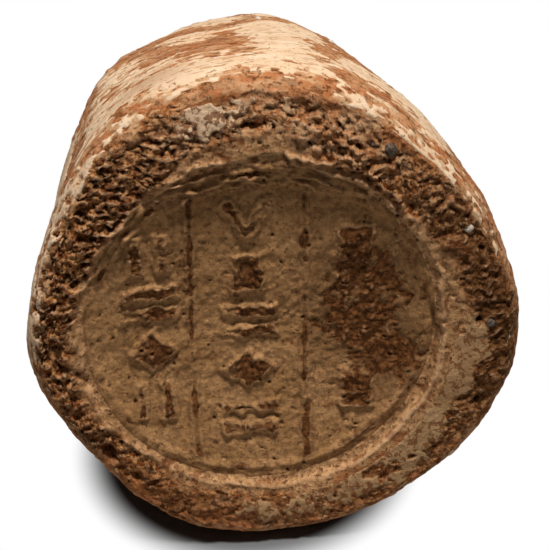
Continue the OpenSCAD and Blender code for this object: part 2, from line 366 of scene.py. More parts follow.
# Crevices between them: depth, size, seed, and the unevenness where they begin and end
CREVICES = ((0.5, 3.2, 13, 0.2, 0.5), (0.35, 1.4, 19, 0.1, 0.45))
BROKEN_PITS = (0.14, 0.2, 0.13, 0.4)
BROKEN_PIT_SIZE = 2.6
BROKEN_PIT_DEPTH = 0.7
CHAFF_PITS = (0.12, 0.2, 0.12, 0.6)
CHAFF_PIT_SIZE = 3.2
CHAFF_PIT_DEPTH = 0.45
SLOW_SWELLS = ((0.35, 16.0, 11), (0.25, 6.5, 12))
HAND_STREAKS = ((0.16, 4.2, 16), (0.15, 1.6, 17))
FINE_GRAIN = ((0.12, 0.9, 55),)
SLIP_FILLS = 0.8
CREST_WORN = 0.5


def clay_relief(p, a, v, cover, inside):
    """Height of the clay's texture off the smooth lump, and how crumbly it shows: slow swells everywhere,
    chips in ledges with crevices and pits where the rim is broken, and the hand's streaks with chaff pits
    elsewhere, less the knocked holes and the worn crest. Slip fills most of it, and there is none inside
    the stamp."""
    crumbly = crumbly_share(p, a, v) * (1 - inside)
    shaken = p + SHAKE * np.stack([rumple(p, SHAKE_SIZE, k) for k in (41, 42, 43)], -1)
    ledges = shaken * FLATTENED
    broken = uneven(shaken, LUMPS) + uneven(ledges, LEDGES) + uneven(p, CRUMBS)
    for tall, size, seed in CHIPS:
        broken = broken + tall * (nearest_grain(ledges, size, seed)[1] - 0.5)
    for deep, size, seed, low, high in CREVICES:
        broken = broken - deep * ease(-rumple(ledges, size, seed), low, high)
    pits = pitted(nearest_grain(shaken, BROKEN_PIT_SIZE, 15), *BROKEN_PITS)
    broken = broken - BROKEN_PIT_DEPTH * pits
    broken = broken * np.interp(a % 360, CRUMBLY_AT, BROKEN_BY, period=360)
    pits = pitted(nearest_grain(p * STREAKED, CHAFF_PIT_SIZE, 18), *CHAFF_PITS)
    wiped = uneven(p * STREAKED, HAND_STREAKS) + uneven(p, FINE_GRAIN) - CHAFF_PIT_DEPTH * pits
    bare = 1 - SLIP_FILLS * ease(cover, -0.4, 0.5)
    knocked = sum(
        deep * bell(np.radians(wrapped(a - at)) * HEAD_R, wide) * bell(v - place, across)
        for at, place, deep, wide, across in HOLES
    )
    texture = crumbly * broken + (1 - crumbly) * (1 - inside) * wiped
    height = uneven(p, SLOW_SWELLS) + bare * texture - knocked - CREST_WORN * bell(v, 2.5)
    return height, crumbly * bare


STAMP_X = -2.4
STAMP_Z = -0.5
LEAST_RIM = 2.8
PAD_DROP = 0.8
PAD_T = 5.6
PAD_GAP = 0.1
STAMP_MARGIN = 2.2
STAMP_DEPTH = 2.6
STAMP_LEAN = 1.2
SEAT_Y = PAD_DROP + PAD_T
crest_x, crest_z = polar(side_radius(DIRECTIONS, 0.0), DIRECTIONS)
PAD_R = np.hypot(crest_x - STAMP_X, crest_z - STAMP_Z).min() - LEAST_RIM
STAMP_R = PAD_R - STAMP_MARGIN
FIELD_R = STAMP_R - STAMP_LEAN

# The border ring, the two rules and the marks that the stamp left in relief
RING_INSET = 3.0
RING_W = 1.9
RING_H = 1.1
RING_R = STAMP_R - RING_INSET
# The ring is kept best in this direction
RING_KEPT_AT = -38.0
RING_KEPT_SPREAD = 70
INNER_R = RING_R - RING_W / 2
RULES = (-12.0, 8.0)
RULE_W = 1.5
RELIEF_H = 0.8
MARK_W = 9.5
MARK_L = 7.0
MARK_PITCH = 9.6
STROKE = 2.0
BLOCK_W = 5.5
COLUMNS_OF_MARKS = [
    ((RULES[0] - INNER_R + STROKE) / 2, ("posts", "bars", "lozenge", "posts")),
    ((RULES[0] + RULES[1]) / 2, ("chevron", "block", "bars", "lozenge", "bars")),
    ((RULES[1] + INNER_R - STROKE) / 2, ("block", "posts", "chevron", "block")),
]
WORN_R = 9.0
WORN_DISCS = [(0, 0, 1), (0.55, -0.75, 0.75), (0.1, 0.8, 0.6)]
# The stamp was leant on this side, where it sank deepest
LEANT_TO = 25.0
LEANT_BY = 0.42
# It was rocked towards the top, which squeezed the wet clay into low ridges there
ROCKED_TO = 92.0
ROCKED_SPREAD = 74
RIDGE_GAP = 1.9
RIDGE_SHARES = (0.3, 0.25, 0.25, 0.2)
# The field is sunk this share of its depth at its wall, and the rest of it towards its middle
WALL_SHARE = 0.75
# The wash lies in the clay by this much
WASH_BED = 0.12
FIELD_BOWL = 2.4


def mark_distance(kind, x, z):
    """Distance outside a mark's outline, below 0 inside it, from the plain shapes that it is made of."""
    x = np.abs(x)
    w = MARK_W / 2
    l = MARK_L / 2
    if kind == "lozenge":
        return (x * l + np.abs(z) * w - w * l) / math.hypot(w, l)
    if kind == "block":
        return np.maximum(x - BLOCK_W / 2, np.abs(z) - l)
    if kind == "posts":
        return np.maximum(np.abs(x - w / 2) - STROKE / 2, np.abs(z) - l)
    if kind == "bars":
        return np.maximum(x - w, np.abs(np.abs(z) - STROKE) - STROKE / 2)
    foot = STROKE * 0.8
    along = np.array((w - foot, 2 * l - foot))
    share = np.clip((x * along[0] + (z + l - foot) * along[1]) / (along @ along), 0, 1)
    return np.hypot(x - share * along[0], z + l - foot - share * along[1]) - foot * 0.75


# Layers of unevenness in the stamped face, and its pits, in the same terms as above
FLOW = ((0.8, 11.0, 31), (0.4, 4.0, 32))
RIDGE_WANDER = ((1.6, 8.0, 33), (0.8, 2.4, 34), (0.4, 1.1, 36))
RIDGE_SEEDS = 70
RAGGED_EDGE = ((0.45, 1.4, 37), (0.35, 4.5, 38))
WRINKLES = ((0.09, 1.4, 45), (0.12, 0.8, 57), (0.12, 7.0, 58), (0.08, 3.0, 80))
CREASES = ((0.16, 1.8, 86),)
WORN_EDGE = ((4.0, 6.5, 47), (3.4, 2.4, 48), (3.0, 1.0, 59))
FIELD_PITS = (0.05, 0.4, 0.12, 0.5)
FIELD_PIT_SIZE = 1.9
FIELD_PIT_DEPTH = 0.55
SHOULDER_DROP = 0.6
SHOULDER_REACH = 2.8
FAR_OFF = 9.0


def stamp_wall(p, r, b, rocked, flow):
    """Share to which the field is sunk, and the height of the ridges beside it: a step down and a lip for
    each time that the stamp was rocked, and folds of squeezed clay that run along the wall."""
    sunk = 0
    ridges = 0
    wall = STAMP_LEAN * (1 - 0.75 * rocked)
    for k, portion in enumerate(RIDGE_SHARES):
        wander = uneven(p, [(h, size, seed + RIDGE_SEEDS * k) for h, size, seed in RIDGE_WANDER])
        past = STAMP_R - k * RIDGE_GAP * rocked + flow + rocked * wander - r
        sunk = sunk + portion * ease(past, -0.35 * wall, 0.7 * wall)
        kept_lip = ease(rumple(p, 5.0, 71 + k), -0.5, 0.4)
        ridges = ridges + (0.1 + 0.55 * rocked) * kept_lip * bell(past + 0.4, 0.45)
    across, up = polar(FIELD_R + 2.5 * (r - FIELD_R), b)
    beside = np.stack([across, 0 * r, up], -1)
    folds = np.abs(rumple(beside + 0.8 * flow[..., None], 3.0, 82))
    folds = folds + 0.6 * np.abs(rumple(beside, 1.6, 83))
    return sunk, ridges + rocked * bell(r - STAMP_R + 3.0, 3.2) * (0.5 * folds - 0.25)


def nearest_outlines(p, x, z):
    """Distances outside the nearest mark, the nearest rule and the worn place, below 0 inside them."""
    marks = np.full(x.shape, FAR_OFF)
    for middle, kinds in COLUMNS_OF_MARKS:
        for k, kind in enumerate(kinds):
            up = MARK_PITCH * ((len(kinds) - 1) / 2 - k)
            marks = np.minimum(marks, mark_distance(kind, x - middle, z - up))
    rules = np.full(x.shape, FAR_OFF)
    for rule in RULES:
        rules = np.minimum(rules, np.abs(x - rule + 0.3 * rumple(p, 6.0, 77)) - RULE_W / 2)
    worn = np.full(x.shape, FAR_OFF)
    for across, up, size in WORN_DISCS:
        middle = (RULES[1] + INNER_R) / 2 + across * WORN_R
        worn = np.minimum(worn, np.hypot(x - middle, z - up * WORN_R) - size * WORN_R)
    return marks, rules, worn


def stamp_relief(p):
    """Height of the stamped part of the face, and what the eye tells apart there: a sunk field that leans
    to one side and bowls to its middle, wavy ridges along its upper wall, the border ring, two rules and
    three columns of marks, all worn by unevenness, with fine wrinkles and pits."""
    x = p[..., 0] - STAMP_X
    z = p[..., 2] - STAMP_Z
    r = np.hypot(x, z)
    b = np.degrees(np.arctan2(z, x))

    # The sunk field
    flow = uneven(p, FLOW)
    rocked = bell(wrapped(b - ROCKED_TO), ROCKED_SPREAD)
    sunk, ridges = stamp_wall(p, r, b, rocked, flow)
    lean = x * math.cos(math.radians(LEANT_TO)) + z * math.sin(math.radians(LEANT_TO))
    depth = WALL_SHARE * STAMP_DEPTH * (1 - LEANT_BY + LEANT_BY * lean / FIELD_R)
    bowl = FIELD_BOWL * np.clip(1 - (r / FIELD_R) ** 2, 0, 1)
    shoulder = SHOULDER_DROP * ease(STAMP_R + SHOULDER_REACH - r, 0, SHOULDER_REACH) * (1 - rocked)
    inside = ease(STAMP_R + flow - r, -0.5 * STAMP_LEAN, STAMP_LEAN)

    # What stands in it: the ring, the marks and the rules
    kept = 0.3 + 0.25 * bell(wrapped(b - RING_KEPT_AT), RING_KEPT_SPREAD)
    kept = kept * ease(rumple(p, 5.0, 35), -0.9, 0.1) * (1 - 0.8 * rocked)
    ring_off = np.abs(r - RING_R - 0.5 * rumple(p, 14.0, 36)) / (RING_W / 2)
    ring = RING_H * kept * np.clip(1.15 - ring_off, 0, 1)
    outline, ruled, worn = nearest_outlines(p, x, z)
    ragged = uneven(p, RAGGED_EDGE)
    outline = outline + ragged
    ruled = np.maximum(ruled + 0.4 * ragged, r - INNER_R)
    rule_left = ease(rumple(p, 7.0, 78), -0.9, -0.3)
    standing = ease(rumple(p, 8.0, 39), -1.1, -0.1)
    top = ease(-outline, -0.15, 0.35)
    rough = 0.7 * np.abs(rumple(p, 1.5, 40)) + 0.6 * np.abs(rumple(p, 0.85, 56)) - 0.45
    marks = top * (RELIEF_H * (0.35 + 0.3 * standing) + 0.6 * rough)
    marks = marks + rule_left * (0.25 * ease(-ruled, -0.1, 0.35) + 0.35 * bell(ruled, 0.3))
    lip = (0.15 + 0.25 * standing) * bell(outline - 0.1, 0.3)

    # Its wrinkles and pits, and the worn place
    creased = np.stack([0.45 * (x + z), 0 * r, z - x], -1)
    wrinkle = uneven(p, WRINKLES) + uneven(creased, CREASES)
    wrinkle = wrinkle + 0.1 * (0.6 - 2 * np.abs(rumple(p, 3.1, 44)))
    pit, luck = nearest_grain(p, FIELD_PIT_SIZE, 46)
    wrinkle = wrinkle - FIELD_PIT_DEPTH * pitted((pit, luck), *FIELD_PITS)
    soiled = ease(-worn, -5.0, 4.0)
    worn = worn + 2.0 + uneven(p, WORN_EDGE)
    scuffed = ease(-worn, -1.5, 2.0)
    scuff = 0.35 * scuffed * (rough - 0.2)
    raised = ring + marks * (1 - 0.6 * soiled) + lip * (1 - soiled) + wrinkle + scuff
    height = ridges - depth * sunk - bowl - shoulder + inside * raised

    # Where the wash is left, above 0 where it covers, and where the clay is rubbed bare
    rubbed = ease(rumple(p, 5.5, 49), -0.15, 0.25)
    rubbed_rule = ruled + 0.1 + 0.9 * rumple(p, 3.4, 79)
    off_marks = outline - 0.1 + 1.2 * (1 - standing)
    off_ring = (ring_off - 0.8) * 0.9 + 2.0 * (1 - rubbed)
    off_wall = FIELD_R + flow - r + 1.2 * rumple(p, 3.0, 81)
    cover = np.minimum.reduce([off_marks, worn, rubbed_rule, off_ring, off_wall])
    cover = cover + 0.5 * rumple(p, 1.2, 75)
    height = height - WASH_BED * ease(cover, 0, 0.5)
    cover = cover - 3.0 * ease(0.1 + 0.22 * luck - pit, 0, 0.12) * (luck > 0.78)
    bare_ring = rubbed * ease(0.9 - ring_off, 0, 0.4)
    bare = np.maximum.reduce([top * standing, scuffed, ease(-rubbed_rule, -0.1, 0.3), bare_ring])
    return height, inside, bare * inside, cover, soiled


# The rim is rounder towards the top, where patting set its crest back
SET_BACK_AT = 85.0
SET_BACK_BY = 1.5
BACK = np.array((0, 1, 0))


def set_back(a, v):
    """How far back along the axis the crest was patted: most at the top, fading along the rim and to
    either side of the crest."""
    far = SET_BACK_BY * bell(wrapped(a - SET_BACK_AT), 42) * bell(v, np.where(v < 0, 4.5, 14.0))
    return far[..., None] * BACK


def face_surface(x, z):
    """The front of the cone over x and z: the shallow dish of the face, level where the pad lies, with the
    stamp and the clay's texture on it and the crest set back, and what its colour depends on."""
    a = np.degrees(np.arctan2(z, x))
    crest = side_radius(a, 0.0)
    r = np.hypot(x, z)
    v = r - crest
    y = np.minimum(FACE_DISH * (1 - np.minimum(r / crest, 1) ** 2), PAD_DROP)
    p = np.stack([x, y, z], -1)
    cover = slip_cover(p, a, v)
    stamped, inside, worn, field_cover, soiled = stamp_relief(p)
    height, crumbly = clay_relief(p, a, v, cover, inside)
    height = height + stamped
    wash = (1 - crumbly_share(p, a, v)) * ease(-v, 1.5, 3.5)
    return p - height[..., None] * BACK + set_back(a, v), {
        "height": height,
        "cover": cover,
        "crumbly": crumbly,
        "wash": np.maximum(wash, inside),
        "worn": worn,
        "field_cover": field_cover,
        "soiled": soiled,
    }


def side_surface(a, s):
    """The side of the cone: the smooth lump lifted along its outward directions by the clay's texture, with
    the crest set back, what its colour depends on, and those directions."""
    p = side_points(a, s)
    cover = slip_cover(p, a, s)
    height, crumbly = clay_relief(p, a, s, cover, np.zeros(cover.shape))
    n = side_normals(a, s)
    lifted = p + height[..., None] * n + set_back(a, s)
    return lifted, {"height": height, "cover": cover, "crumbly": crumbly}, n


# The materials darken points below their neighbours as painted shade and lighten those above them as
# painted highlights.
def hollows(height, reach):
    """How far a point lies above, or below 0 under, the mean of its neighbours on the grid, in
    millimetres: the height less its average over steps of 1 to reach along both ways of the grid."""
    rows = np.pad(height, ((reach, reach), (0, 0)), mode="edge")
    last = rows.shape[0] - reach
    near = 0
    for k in range(1, reach + 1):
        near = near + rows[reach - k : last - k] + rows[reach + k : last + k]
        near = near + np.roll(height, k, 1) + np.roll(height, -k, 1)
    return height - near / (4 * reach)


def ring_faces(rows, columns):
    """Corner numbers of two triangles for each cell of a grid that closes on itself round the axis."""
    first = np.arange(rows - 1)[:, None] * columns + np.arange(columns)[None, :]
    beside = np.arange(rows - 1)[:, None] * columns + (np.arange(columns)[None, :] + 1) % columns
    lower = np.stack([first, first + columns, beside + columns], -1)
    upper = np.stack([first, beside + columns, beside], -1)
    return np.concatenate([lower.reshape(-1, 3), upper.reshape(-1, 3)])


def pole_faces(ring_start, columns, pole, opens):
    """A fan of triangles from one point to a ring of the grid, at its opening or its closing end."""
    here = ring_start + np.arange(columns)
    beside = ring_start + (np.arange(columns) + 1) % columns
    tip = np.full(columns, pole)
    return np.stack([tip, here, beside] if opens else [here, tip, beside], -1)


def make_piece(name, points, faces, material, node, slot, sharp=(), **shown):
    """A smooth-shaded mesh object in the row's frame from points in the cone's millimetres and triangles
    as corner numbers, with sharp edges between the points named sharp, and one named value a point for
    each thing its material reads. It rides on the one body and stands for its CAD node."""
    mesh = bpy.data.meshes.new(name)
    mesh.from_pydata(placed(points), [], faces)
    mesh.polygons.foreach_set("use_smooth", np.ones(len(faces), bool))
    ends = np.zeros(2 * len(mesh.edges), np.int32)
    mesh.edges.foreach_get("vertices", ends)
    mesh.edges.foreach_set("use_edge_sharp", np.isin(ends.reshape(-1, 2), sharp).all(1))
    for key, values in shown.items():
        value = mesh.attributes.new(key, "FLOAT", "POINT")
        value.data.foreach_set("value", np.asarray(values, np.float32))
    mesh.materials.append(material)
    mesh.update()
    piece = bpy.data.objects.new(name, mesh)
    bpy.context.scene.collection.objects.link(piece)
    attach(piece, "root")
    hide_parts(node)


def linear(code):
    """An sRGB hex colour as linear red, green, blue and alpha."""
    parts = [int(code[k : k + 2], 16) / 255 for k in (1, 3, 5)]
    return (*[c / 12.92 if c <= 0.04045 else ((c + 0.055) / 1.055) ** 2.4 for c in parts], 1.0)


def add(tree, kind, settings, sockets, out=0):
    """Adds a node, sets its properties, and joins or fills its sockets; gives back one of its outputs."""
    made = tree.nodes.new("ShaderNode" + kind)
    for key, value in settings.items():
        setattr(made, key, value)
    for key, value in sockets.items():
        if isinstance(value, bpy.types.NodeSocket):
            tree.links.new(value, made.inputs[key])
        else:
            made.inputs[key].default_value = value
    return made.outputs[out] if made.outputs else None


def new_material(name):
    """An empty node material, and the piece's own coordinates in millimetres."""
    material = bpy.data.materials.new(name)
    material.use_nodes = True
    tree = material.node_tree
    tree.nodes.clear()
    metres = add(tree, "TexCoord", {}, {}, "Object")
    place = add(tree, "VectorMath", {"operation": "SCALE"}, {0: metres, "Scale": 1 / MM})
    return material, tree, place


def speckle(tree, place, size, low, high, most=1.0):
    """Share of specks, from 0 to most: noise with swells of that size in millimetres, cut from low
    to high."""
    swells = {"Vector": place, "Scale": 1 / size, "Detail": 4.0, "Roughness": 0.65}
    noise = add(tree, "TexNoise", {}, swells)
    return add(tree, "MapRange", {}, {"Value": noise, "From Min": low, "From Max": high, "To Max": most})


def shown_value(tree, name, low, high, most=1.0):
    """Share from 0 to most as one of the piece's own values goes from low to high."""
    value = add(tree, "Attribute", {"attribute_name": name}, {}, "Fac")
    return add(tree, "MapRange", {}, {"Value": value, "From Min": low, "From Max": high, "To Max": most})


def coated(tree, base, coats):
    """A colour with coats laid over it in turn, each a share and a hex or an already coated colour."""
    colour = linear(base)
    for share, over in coats:
        over = linear(over) if isinstance(over, str) else over
        colour = add(tree, "MixRGB", {}, {"Fac": share, "Color1": colour, "Color2": over})
    return colour


# Baked earth scatters light evenly and hardly shines. Its grain is finer than the render shows, so
# it is drawn coarser, from 0.4 to 0.8 mm.
EARTH_ROUGHNESS = 0.92
EARTH_GLOSS = 0.05


def dry_surface(tree, colour, place, grain, strength):
    """Ends a material as a dry, matt earth: its colour, rough and barely glossy, with a fine grain."""
    grains = {"Vector": place, "Scale": 1 / grain, "Detail": 5.0, "Roughness": 0.7}
    bumps = {"Height": add(tree, "TexNoise", {}, grains), "Strength": strength, "Distance": MM}
    look = {"Base Color": colour, "Roughness": EARTH_ROUGHNESS, "Specular IOR Level": EARTH_GLOSS}
    shader = add(tree, "BsdfPrincipled", {}, {**look, "Normal": add(tree, "Bump", {}, bumps)})
    add(tree, "OutputMaterial", {}, {"Surface": shader})


def wiped_way(tree, place):
    """Coordinates that stretch a pattern round the shank, along the wiping hand."""
    turned = add(tree, "Mapping", {"vector_type": "POINT"}, {"Vector": place, "Rotation": (TILT, 0, 0)})
    return add(tree, "VectorMath", {"operation": "MULTIPLY"}, {0: turned, 1: tuple(STREAKED)})


# Baked desert clay: an orange-brown body with redder and darker blotches. Broken crumbs show darker
# and redder, with near-black painted shade in random crevice spots, wiped clay keeps pale streaks of
# slip, and dirt dulls the washed face to khaki. Hollows of the relief get painted shade and its ridges
# painted highlights.
CLAY_MAIN = "#c78456"
CLAY_RED = "#ae6637"
CLAY_PALE = "#dba97c"
CLAY_PIT = "#7d4a29"
CRUMB_DARK = "#80431c"
CRUMB_LIGHT = "#dd9d63"
# Painted highlight laid on the ridges of the relief.
PAINTED_RIDGE_HIGHLIGHT = "#f2c294"
# Painted shade: near-black laid in the hollows of the relief and in random crevice spots.
PAINTED_HOLLOW_SHADE = "#1f0f07"
PIT_DARK = "#472512"
WASH_KHAKI = "#a87a4e"
# A pale tan: the khaki wash's own lighter tone, and in the field wash a painted highlight on the wrinkles.
WASH_TAN_AND_PAINTED_HIGHLIGHT = "#d7a473"
WASH_RUST = "#854a29"
WORN_RED = "#845530"
WORN_DARK = "#543119"
SLIP_STAIN = "#e0b587"


def clay_material(name):
    """Clay tones by noise, then crumbs with painted shade in random crevice spots, slip stains and painted
    light on the rim's top, khaki wash, and worn places with painted shade on the rim's right, by the
    piece's own values, with fine dark pits over all, painted shade in the hollows and painted highlights
    on the ridges."""
    material, tree, place = new_material(name)
    wiped = wiped_way(tree, place)
    crumbly = shown_value(tree, "crumbly", 0, 1)
    crumbs = coated(tree, CRUMB_LIGHT, [(speckle(tree, place, 1.2, 0.43, 0.55), CRUMB_DARK)])
    scuffed = coated(tree, WORN_RED, [(speckle(tree, place, 0.9, 0.42, 0.6), WORN_DARK)])
    khaki = coated(
        tree,
        WASH_TAN_AND_PAINTED_HIGHLIGHT,
        [
            (speckle(tree, place, 1.3, 0.4, 0.6), WASH_KHAKI),
            (speckle(tree, place, 2.8, 0.55, 0.62, 0.75), WASH_RUST),
        ],
    )
    # Painted shade: near-black spots at random over the broken crumbs, standing for shaded crevices.
    painted_crevice_shade = {0: speckle(tree, place, 1.5, 0.54, 0.61, 0.85), 1: crumbly}
    # On the rim's top this is painted light; on the shank it is real slip staining.
    stains = {0: speckle(tree, wiped, 3.6, 0.48, 0.56), 1: shown_value(tree, "stain", 0, 1)}
    colour = coated(
        tree,
        CLAY_MAIN,
        [
            (speckle(tree, place, 11, 0.4, 0.65), CLAY_RED),
            (speckle(tree, wiped, 5.5, 0.5, 0.62, 0.6), CLAY_PALE),
            (speckle(tree, wiped, 3.0, 0.52, 0.58, 0.85), CLAY_PIT),
            (crumbly, crumbs),
            (add(tree, "Math", {"operation": "MULTIPLY"}, painted_crevice_shade), PAINTED_HOLLOW_SHADE),
            (add(tree, "Math", {"operation": "MULTIPLY"}, stains), SLIP_STAIN),
            (shown_value(tree, "wash", 0, 1), khaki),
            (shown_value(tree, "worn", 0, 1), scuffed),
            (speckle(tree, place, 0.8, 0.54, 0.63, 0.75), PIT_DARK),
            # Painted shade where a point lies under its neighbours, and a painted highlight where it stands
            # above them.
            (shown_value(tree, "hollow", -0.1, -0.45, 0.92), PAINTED_HOLLOW_SHADE),
            (shown_value(tree, "hollow", 0.06, 0.35, 0.6), PAINTED_RIDGE_HIGHLIGHT),
        ],
    )
    grainy = add(tree, "MapRange", {}, {"Value": crumbly, "To Min": 0.5, "To Max": 1.0})
    dry_surface(tree, colour, place, 0.8, grainy)
    return material


COLUMNS = 840
FACE_ROWS = 32
ROUND_ROWS = 26
TAIL_ROWS = 6
# Rows lie closer together up to this place, as far back as the photo's view shows
SEEN_TO = 56.0
SEEN_ROWS = 35
BACK_ROWS = 18
SEAT_LIP = 0.6
HOLLOW_REACH = 3
turn = np.arange(COLUMNS) * 360 / COLUMNS
rim_x, rim_z = polar(side_radius(turn, 0.0), turn)
from_stamp = np.hypot(rim_x - STAMP_X, rim_z - STAMP_Z)
toward_x = (rim_x - STAMP_X) / from_stamp
toward_z = (rim_z - STAMP_Z) / from_stamp


def round_stamp(r):
    """x and z at radius r from the stamp's middle, towards each column's point of the crest."""
    return STAMP_X + r * toward_x, STAMP_Z + r * toward_z


def stamp_ring(r, y):
    """A ring of points at radius r from the stamp's middle and at depth y, one for each column."""
    x, z = round_stamp(r)
    return np.stack([x, y + 0 * x, z], -1)


outward = PAD_R + (from_stamp - PAD_R) * np.linspace(0, 1, FACE_ROWS)[:, None]
front, front_shows = face_surface(*round_stamp(outward))

round_turn = np.radians(90 * np.arange(1, ROUND_ROWS + 1) / ROUND_ROWS)
tail_turn = np.radians(90 * np.arange(1, TAIL_ROWS + 1) / (TAIL_ROWS + 0.5))
back = np.concatenate(
    [
        RIM_DEPTH * (1 - np.cos(round_turn)),
        np.linspace(RIM_DEPTH, SEEN_TO, SEEN_ROWS)[1:],
        np.linspace(SEEN_TO, LENGTH - TAIL_DOME, BACK_ROWS)[1:],
        LENGTH - TAIL_DOME * (1 - np.sin(tail_turn)),
    ]
)
side, side_shows, _ = side_surface(*np.meshgrid(turn, back))

seat_floor = stamp_ring(PAD_R + PAD_GAP, SEAT_Y)
seat_top = stamp_ring(PAD_R + PAD_GAP, front[0, :, 1] + SEAT_LIP)
grid = np.concatenate([seat_floor[None], seat_top[None], front, side])


def closed_faces(rows, columns):
    """Triangles of a grid of rings, closed by a point at its opening end and one at its closing end, which
    follow the grid's own points."""
    last = rows * columns
    rings = ring_faces(rows, columns)
    opening = pole_faces(0, columns, last, True)
    closing = pole_faces(last - columns, columns, last + 1, False)
    return np.concatenate([rings, opening, closing])


def core_values(front_part, side_part):
    """One value a point of the core: nothing in the seat, then the rim's front, the side and the poles."""
    seat = np.zeros((2, COLUMNS))
    return np.concatenate([np.concatenate([seat, front_part, side_part]).ravel(), [0, 0]])


none_on_side = np.zeros(side.shape[:2])
# Painted light: the top of the rim's broken front is drawn with fewer dark crumbs and with pale
# speckles, as if lit more
painted_light_top = bell(wrapped(turn - 80), 38)
# The bottom is rubbed smoother and takes the worn clay's fine red-brown specks; the right of the rim
# takes the same darker colours as painted shade
bottom_of_rim = bell(wrapped(turn + 100), 46)
crumbs_fewer_at_lit_top_and_worn_bottom = 1 - 0.55 * painted_light_top - 0.6 * bottom_of_rim
painted_shade_right_and_worn_bottom = 0.88 * bell(wrapped(turn - 2), 34) + 0.35 * bottom_of_rim
core_height = np.concatenate([front_shows["height"], side_shows["height"]])
core_hollow = hollows(core_height, HOLLOW_REACH)
make_piece(
    "shaped_clay",
    np.concatenate([grid.reshape(-1, 3), [(STAMP_X, SEAT_Y, STAMP_Z), (0, LENGTH, 0)]]),
    closed_faces(len(grid), COLUMNS),
    clay_material("baked coarse clay"),
    "clay_core",
    "coarse_clay",
    2 * COLUMNS + np.arange(COLUMNS),
    crumbly=core_values(front_shows["crumbly"] * crumbs_fewer_at_lit_top_and_worn_bottom, side_shows["crumbly"]),
    wash=core_values(front_shows["wash"], none_on_side),
    # On the rim's right these worn colours are painted shade.
    worn=core_values(painted_shade_right_and_worn_bottom * front_shows["crumbly"], painted_shade_right_and_worn_bottom * side_shows["crumbly"]),
    # On the front, painted light on the rim's top; on the side, real slip stains.
    stain=core_values(
        0.55 * painted_light_top * ease(front_shows["crumbly"], 0, 0.5),
        0.35 + 0.5 * ease(side_shows["cover"], -1.2, 0.2),
    ),
    hollow=core_values(core_hollow[:FACE_ROWS], core_hollow[FACE_ROWS:]),
)

# Stamped pad
# A pad of finer clay that closes the broad end. A round wooden stamp was pressed into it while it was
# wet, which sank the field and left a border ring, rules and marks standing in it.

PAD_ROWS = 115
PAD_SIDE_GAP = 0.05
PAD_LIP = 0.5
reach = np.linspace(PAD_R / PAD_ROWS, PAD_R, PAD_ROWS)[:, None]
pad_face, pad_shows = face_surface(*round_stamp(reach))
edge_top = stamp_ring(PAD_R - PAD_SIDE_GAP, pad_face[-1, :, 1] + PAD_LIP)
edge_foot = stamp_ring(PAD_R - PAD_SIDE_GAP, SEAT_Y - PAD_SIDE_GAP)
pad_grid = np.concatenate([pad_face, edge_top[None], edge_foot[None]])
pad_middle = (STAMP_X, pad_face[0, :, 1].mean(), STAMP_Z)
pad_back = (STAMP_X, SEAT_Y - PAD_SIDE_GAP, STAMP_Z)
pad_hollow = hollows(pad_shows["height"], HOLLOW_REACH)


def pad_values(face_part):
    """One value a point of the pad: its face, its side and back as the face's edge, then the poles."""
    edge = face_part[-1]
    return np.concatenate([face_part.ravel(), edge, edge, face_part[0, :1], edge[:1]])


make_piece(
    "pressed_clay",
    np.concatenate([pad_grid.reshape(-1, 3), [pad_middle, pad_back]]),
    closed_faces(len(pad_grid), COLUMNS),
    clay_material("baked fine clay"),
    "stamped_pad",
    "fine_clay",
    (PAD_ROWS - 1) * COLUMNS + np.arange(COLUMNS),
    crumbly=pad_values(pad_shows["crumbly"]),
    wash=pad_values(pad_shows["wash"]),
    worn=pad_values(pad_shows["worn"]),
    stain=pad_values(0 * pad_shows["wash"]),
    hollow=pad_values(pad_hollow),
)

# Shank slip
# A thin pale slip of limy clay, wiped over the cone by hand before it dried. Most of it has worn off:
# what is left lies in streaky bands and flakes with feathered edges.

SLIP_T = 0.12
SLIP_SINK = 0.45
# Lift of a flake's edge that has dipped under the clay
DIPPED = -0.2


def flakes(points, normals, lift):
    """Closed flakes over every grid cell that has a corner above the clay: a top lifted off the clay, an
    underside sunk into it, and a wall round each open edge. Gives points, triangles and grid places."""
    rows, columns = lift.shape
    here = np.arange(rows * columns).reshape(rows, columns)
    beside = np.roll(here, -1, 1)
    cells = np.stack([here[:-1], here[1:], beside[1:], beside[:-1]], -1).reshape(-1, 4)
    cells = cells[(lift.ravel()[cells] > 0).any(1)]
    used, cells = np.unique(cells, return_inverse=True)
    cells = cells.reshape(-1, 4)
    count = len(used)
    base = points.reshape(-1, 3)[used]
    up = normals.reshape(-1, 3)[used]
    top = base + up * np.maximum(lift.ravel()[used], DIPPED)[:, None]
    foot = base - up * SLIP_SINK
    starts = cells.ravel()
    ends = np.roll(cells, -1, 1).ravel()
    open_edge = ~np.isin(starts * count + ends, ends * count + starts)
    s = starts[open_edge]
    e = ends[open_edge]
    triangles = np.concatenate(
        [
            cells[:, [0, 1, 2]],
            cells[:, [0, 2, 3]],
            cells[:, [2, 1, 0]] + count,
            cells[:, [3, 2, 0]] + count,
            np.stack([e, s, s + count], -1),
            np.stack([e, s + count, e + count], -1),
        ]
    )
    return np.concatenate([top, foot]), triangles, used


def make_flakes(name, points, normals, lift, material, node, slot, **shown):
    """A piece of flakes, whose material reads its lift as thick, and the other values given on the grid."""
    made, faces, used = flakes(points, normals, lift)
    values = {key: np.tile(value.ravel()[used], 2) for key, value in {"thick": lift, **shown}.items()}
    make_piece(name, made, faces, material, node, slot, **values)


SHANK_COLUMNS = 760
SLIP_START = 0.5
SLIP_SEEN_TO = 60.0
